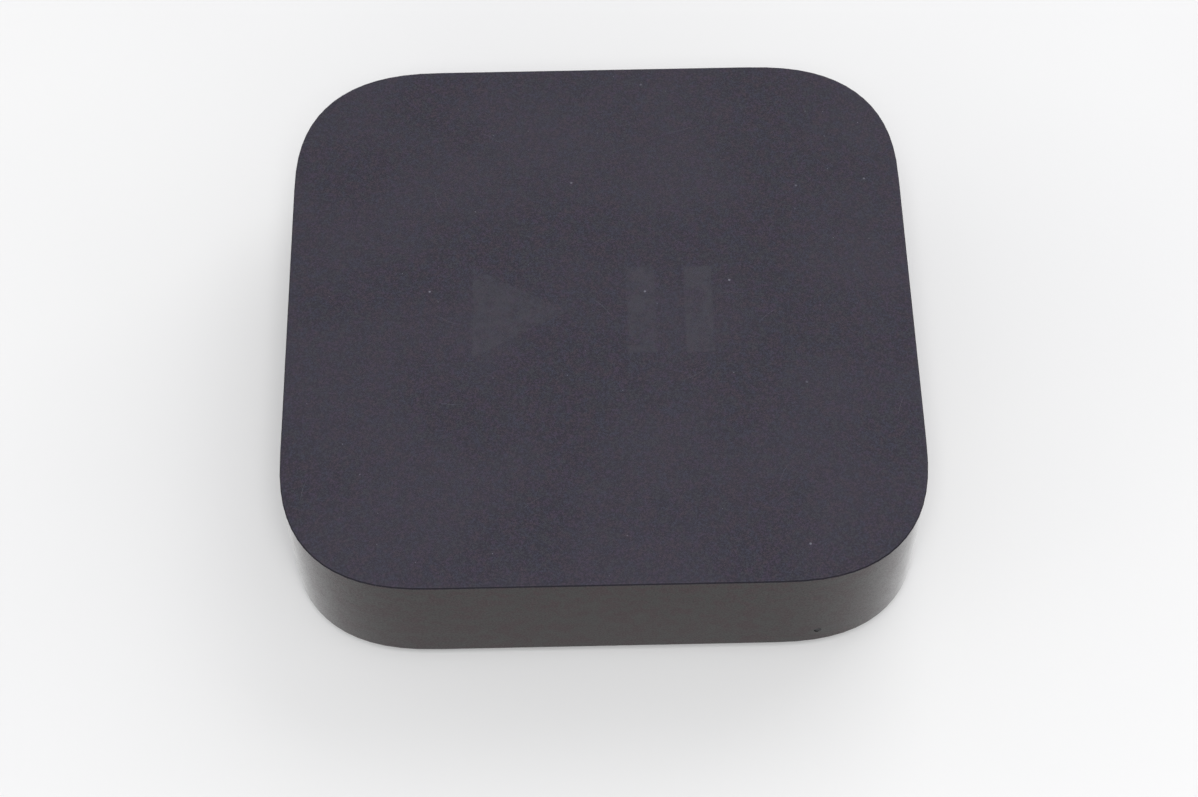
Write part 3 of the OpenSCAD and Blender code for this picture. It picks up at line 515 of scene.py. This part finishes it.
# The looks of each family's slots
PLASTICS = {
    "insulator_sheet": dict(rough=0.55, grain=3.0, relief=0.01, vary=0.88),
    "socket_plastic": dict(rough=0.42, grain=6.0, relief=0.012, vary=1.3, ior=1.3),
    "shutter_plastic": dict(rough=0.5, grain=6.0, relief=0.015, vary=1.3, ior=1.3),
    "connector_nylon": dict(rough=0.42, grain=3.0, relief=0.01, vary=0.9),
    "fuse_plastic": dict(rough=0.4, grain=4.0, relief=0.01, vary=1.6),
    "film_yellow": dict(rough=0.3, grain=3.0, relief=0.008, vary=0.85),
    "wire_red": dict(rough=0.32, grain=4.0, relief=0.006, vary=1.25),
    "cable_black": dict(rough=0.3, grain=4.0, relief=0.006, vary=1.6),
}
METALS = {
    "plate_aluminium": dict(rough=0.34, along=(0.1, 4.0, 4.0), relief=0.006, stain=0.85),
    "screw_steel": dict(rough=0.28, along=(3.0, 3.0, 3.0), relief=0.004, stain=0.7),
    "pin_brass": dict(rough=0.22, along=(2.0, 0.2, 2.0), relief=0.003, stain=0.7),
    "shell_steel": dict(rough=0.26, along=(1.5, 0.2, 1.5), relief=0.004, stain=0.8),
    "contact_gold": dict(rough=0.2, along=(2.0, 0.3, 2.0), relief=0.002, stain=0.85),
    "spring_steel": dict(rough=0.24, along=(4.0, 4.0, 4.0), relief=0.002, stain=0.8),
    "pin_steel": dict(rough=0.4, along=(0.4, 4.0, 4.0), relief=0.002, stain=0.7),
    "can_tin": dict(rough=0.3, along=(0.2, 4.0, 4.0), relief=0.004, stain=0.8),
    "crystal_can": dict(rough=0.25, along=(3.0, 0.4, 3.0), relief=0.003, stain=0.85),
}
BOARDS = {
    "board_green": dict(
        mask=rgb(0.008, 0.075, 0.035), copper=rgb(0.02, 0.16, 0.06), legend=rgb(0.7, 0.7, 0.65)
    ),
    "board_tan": dict(
        mask=rgb(0.42, 0.27, 0.09), copper=rgb(0.30, 0.17, 0.05), legend=rgb(0.75, 0.72, 0.65)
    ),
}
LAYERED = {
    "choke_ferrite": dict(pitch=0.8, axis="X", rough=0.45, relief=0.05, dark=0.5),
    "can_sleeve": dict(pitch=6.0, axis="X", rough=0.28, relief=0.006, dark=0.75),
    "can_green": dict(pitch=5.0, axis="X", rough=0.28, relief=0.006, dark=0.75),
    "winding_tape": dict(pitch=1.6, axis="Z", rough=0.25, relief=0.02, dark=0.8),
    "ribbon_amber": dict(pitch=0.75, axis="X", rough=0.25, relief=0.012, dark=0.7),
}
SPECKLED = {
    "pad_silicone": dict(second=rgb(0.3, 0.36, 0.46), scale=3.0, rough=0.75, relief=0.04),
    "small_ceramic": dict(second=rgb(0.62, 0.58, 0.52), scale=1.2, rough=0.45, relief=0.01),
    "small_resistor": dict(second=rgb(0.3, 0.3, 0.29), scale=1.0, rough=0.45, relief=0.01),
    "core_ferrite": dict(second=rgb(0.16, 0.155, 0.15), scale=5.0, rough=0.6, relief=0.04),
}
LENSES = {
    "emitter_red": dict(rough=0.12),
    "disc_blue": dict(rough=0.2),
    "led_white": dict(rough=0.15),
    "receiver_dark": dict(rough=0.06),
}
FAMILIES = (
    (plastic, PLASTICS), (sheet_metal, METALS), (circuit_board, BOARDS), (layered, LAYERED),
    (speckled, SPECKLED), (tinted_lens, LENSES),
)
MADE = {
    "case_plastic": case_material(),
    "base_plastic": base_material(),
    "foot_rubber": rubber_material(),
    "pipe_smoke": smoked_plastic("pipe_smoke"),
    "chip_epoxy": chip_top("chip_epoxy"),
}
for make, looks in FAMILIES:
    for slot, look in looks.items():
        MADE[slot] = make(slot, **look)
for name, slot in SLOTS.items():
    materials = NODES[name].data.materials
    materials.clear()
    materials.append(MADE[slot])


# --------------------------------------------------------------------------------------------
# Finish of the solids

def crease_group(angle):
    """A node group that shades a mesh smooth, and leaves edges sharper than an angle creased."""
    group = bpy.data.node_groups.new("crease", "GeometryNodeTree")
    for way in ("INPUT", "OUTPUT"):
        group.interface.new_socket("Geometry", in_out=way, socket_type="NodeSocketGeometry")
    start = group.nodes.new("NodeGroupInput")
    end = group.nodes.new("NodeGroupOutput")
    faces = group.nodes.new("GeometryNodeSetShadeSmooth")
    edges = group.nodes.new("GeometryNodeSetShadeSmooth")
    edges.domain = "EDGE"
    edges.inputs["Shade Smooth"].default_value = False
    turn = group.nodes.new("GeometryNodeInputMeshEdgeAngle")
    sharp = group.nodes.new("FunctionNodeCompare")
    sharp.operation = "GREATER_THAN"
    sharp.inputs[1].default_value = math.radians(angle)
    link = group.links.new
    link(start.outputs[0], faces.inputs["Geometry"])
    link(faces.outputs[0], edges.inputs["Geometry"])
    link(turn.outputs["Unsigned Angle"], sharp.inputs[0])
    link(sharp.outputs[0], edges.inputs["Selection"])
    link(edges.outputs[0], end.inputs[0])
    return group


CREASE = crease_group(28)


def finish(piece, bevel):
    """Welds a solid, rounds its sharp edges by bevel mm, and shades it by angle."""
    weld = piece.modifiers.new("weld", "WELD")
    weld.merge_threshold = WELD
    if bevel:
        flat = piece.modifiers.new("flat", "DECIMATE")
        flat.decimate_type = "DISSOLVE"
        flat.angle_limit = math.radians(0.4)
        edge = piece.modifiers.new("edge", "BEVEL")
        edge.width = bevel * MM
        edge.segments = 2
        edge.limit_method = "ANGLE"
        edge.angle_limit = math.radians(40)
        edge.use_clamp_overlap = True
    crease = piece.modifiers.new("crease", "NODES")
    crease.node_group = CREASE
    normals = piece.modifiers.new("normals", "WEIGHTED_NORMAL")
    normals.keep_sharp = True


# Edge radii in mm of the pieces that are moulded, drawn or pressed with visibly soft edges
SOFT_EDGES = {
    "power_inlet": 0.12, "network_port_housing": 0.12, "optical_housing": 0.12,
    "optical_shutter": 0.08, "video_port_shell": 0.08, "service_port_shell": 0.08,
    "video_port_tongue": 0.06, "service_port_tongue": 0.06,
    "processor": 0.08, "flash_memory": 0.08, "power_manager": 0.06, "thermal_pad": 0.08,
    "wireless_module": 0.15, "shield_can": 0.1, "network_transformer": 0.1, "fuse": 0.25,
    "noise_capacitor": 0.3, "bridge_rectifier": 0.15, "safety_capacitor": 0.2,
    "transformer_core": 0.15, "logic_inductors": 0.2, "ribbon_socket": 0.1,
    "logic_harness_socket": 0.1, "power_harness_socket": 0.1, "harness_plugs": 0.12,
    "clock_crystal": 0.15, "infrared_receiver": 0.15, "status_light": 0.1,
    "heat_plate_screws": 0.06, "logic_board_screws": 0.05, "power_board_screws": 0.05,
}
for name, piece in NODES.items():
    if name != "upper_case":
        finish(piece, SOFT_EDGES.get(name, 0.0))


# --------------------------------------------------------------------------------------------
# Upper case: the CAD moulding with soft edges round its openings, and the true normals of its
# smooth corners in place of the facets' normals

CORNER = 24 * MM  # reach of the blended corners
POWER = 2.55  # of the superellipse that the corners follow
EDGE = 0.4 * MM  # radius of the edge between top and side
DRAFT = 0.25 * MM  # how much narrower the side is at its bottom
SKIN = 0.3 * MM  # what is nearer than this to the outside belongs to it
RIM = 0.25 * MM  # width of the soft edges round the openings


def outer_normal(p):
    """The normal of the case's outside at or near a point, and the point's depth below it."""
    half = case_high.x
    a = max(abs(p.x) - (half - CORNER), 0.0) / CORNER
    b = max(abs(p.y) - (half - CORNER), 0.0) / CORNER
    reach = (a ** POWER + b ** POWER) ** (1 / POWER)
    side = Vector((
        math.copysign(a ** (POWER - 1), p.x), math.copysign(b ** (POWER - 1), p.y), 0.0
    ))
    if side.length < 1e-9:
        return Vector((0, 0, 1)), case_high.z - p.z
    side.normalize()
    edge_start = case_high.z - EDGE
    rise = min((p.z - edge_start) / EDGE, 1.0)
    if rise > 0:
        level = math.sqrt(1 - rise * rise)
        normal = side * level + Vector((0, 0, rise))
        inset = EDGE * (1 - level)
    else:
        wall = edge_start - case_low.z
        normal = side - Vector((0, 0, DRAFT / wall))
        inset = DRAFT * (edge_start - p.z) / wall
    return normal.normalized(), (1 - reach) * CORNER - inset


def faces_out(normal, middle, limit):
    """Whether a face with this normal and middle is part of the outside, to a limit in degrees."""
    ideal, depth = outer_normal(middle)
    return normal.angle(ideal) < math.radians(limit) and abs(depth) < SKIN


def soften_openings(bm):
    """Bevels the edges where the outside meets the walls of the sockets' openings, at the back."""
    lowest, highest = case_low.z + 0.3 * MM, case_high.z - 1 * MM
    rims = []
    for edge in bm.edges:
        if len(edge.link_faces) != 2:
            continue
        outside = [faces_out(f.normal, f.calc_center_median(), 20) for f in edge.link_faces]
        middle = (edge.verts[0].co + edge.verts[1].co) / 2
        if outside[0] != outside[1] and lowest < middle.z < highest and middle.y > 0:
            rims.append(edge)
    bmesh.ops.bevel(
        bm, geom=rims, offset=RIM, offset_type="OFFSET", segments=3, profile=0.5,
        affect="EDGES", clamp_overlap=False,
    )
    bmesh.ops.triangulate(bm, faces=[f for f in bm.faces if len(f.verts) > 4])


def sort_faces(bm):
    """Puts the faces in the order of their vertices, as triangulate's order differs each run."""
    bm.verts.index_update()
    ordered = sorted(bm.faces, key=lambda face: [vertex.index for vertex in face.verts])
    for place, face in enumerate(ordered):
        face.index = place
    bm.faces.sort()


def true_normals(mesh):
    """Each corner's normal: the ideal one on the outside, and the mesh's own elsewhere."""
    same_face = math.radians(40)
    normals = [Vector(n.vector) for n in mesh.corner_normals]
    on_skin = set()
    for face in mesh.polygons:
        if faces_out(face.normal, face.center, 12):
            on_skin.update(face.vertices)
    for face in mesh.polygons:
        for corner in face.loop_indices:
            vertex = mesh.loops[corner].vertex_index
            if vertex in on_skin:
                ideal = outer_normal(mesh.vertices[vertex].co)[0]
                if face.normal.angle(ideal) < same_face:
                    normals[corner] = ideal
    return normals


def build_upper_case():
    flat, creased = math.radians(0.15), math.radians(33)
    bm = bmesh.new()
    bm.from_mesh(NODES["upper_case"].data)
    bmesh.ops.remove_doubles(bm, verts=bm.verts, dist=WELD)
    bmesh.ops.dissolve_limit(bm, angle_limit=flat, verts=bm.verts, edges=bm.edges)
    bm.normal_update()
    soften_openings(bm)
    sort_faces(bm)
    bm.normal_update()
    for face in bm.faces:
        face.smooth = True
    for edge in bm.edges:
        edge.smooth = edge.calc_face_angle(0.0) < creased
    mesh = bpy.data.meshes.new("upper_case_moulding")
    bm.to_mesh(mesh)
    bm.free()
    mesh.attributes.remove(mesh.attributes["custom_normal"])
    mesh.normals_split_custom_set(true_normals(mesh))
    mesh.materials.append(MADE["case_plastic"])
    piece = bpy.data.objects.new("upper_case_moulding", mesh)
    bpy.context.scene.collection.objects.link(piece)
    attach(piece, "player")
    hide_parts("upper_case")


build_upper_case()


# --------------------------------------------------------------------------------------------
# Studio

def floor(half):
    """A square sheet of white paper."""
    mesh = bpy.data.meshes.new("floor")
    corners = [(-half, -half, 0), (half, -half, 0), (half, half, 0), (-half, half, 0)]
    mesh.from_pydata(corners, [], [(0, 1, 2, 3)])
    piece = bpy.data.objects.new("floor", mesh)
    bpy.context.scene.collection.objects.link(piece)
    s = Shader("floor_paper", rough=0.9, Specular_IOR_Level=0.1)
    cloud = s.ramp(s.noise(0.006, 3.0, 0.5), 0.3, 0.7)
    fine = s.noise(0.8, 3.0, 0.6)
    s.set(
        Base_Color=s.mix(cloud, rgb(0.80, 0.80, 0.805), rgb(0.83, 0.83, 0.83)),
        Roughness=s.ramp(fine, 0.3, 0.7, to_low=0.85, to_high=0.95),
        Normal=s.bump(fine, 0.01),
    )
    mesh.materials.append(s.material)


def softbox(name, place, size, power):
    """A square lamp that is turned to the middle of the floor."""
    data = bpy.data.lights.new(name, "AREA")
    data.shape = "SQUARE"
    data.size = size
    data.energy = power
    light = bpy.data.objects.new(name, data)
    light.location = place
    light.rotation_euler = (Vector() - Vector(place)).to_track_quat("-Z", "Y").to_euler()
    bpy.context.scene.collection.objects.link(light)


def studio_sky(horizon, above):
    """A white studio: bright low walls all round, and a dimmer ceiling."""
    world = bpy.data.worlds.new("studio")
    world.use_nodes = True
    tree = world.node_tree
    where = tree.nodes.new("ShaderNodeTexCoord")
    split = tree.nodes.new("ShaderNodeSeparateXYZ")
    height = tree.nodes.new("ShaderNodeMapRange")
    height.interpolation_type = "SMOOTHSTEP"
    height.inputs["From Min"].default_value = 0.3
    height.inputs["From Max"].default_value = 0.6
    height.inputs["To Min"].default_value = horizon
    height.inputs["To Max"].default_value = above
    background = tree.nodes["Background"]
    background.inputs["Color"].default_value = rgb(0.97, 0.97, 0.98)
    tree.links.new(where.outputs["Generated"], split.inputs[0])
    tree.links.new(split.outputs["Z"], height.inputs["Value"])
    tree.links.new(height.outputs[0], background.inputs["Strength"])
    bpy.context.scene.world = world


studio_sky(horizon=1.38, above=0.32)
floor(half=1.25)
softbox("front_softbox", place=(0, -0.9, 1.56), size=0.82, power=19.5)
softbox("back_softbox", place=(0.532, 0.922, 0.746), size=1.2, power=5.9)
bpy.context.scene.view_settings.view_transform = "Standard"
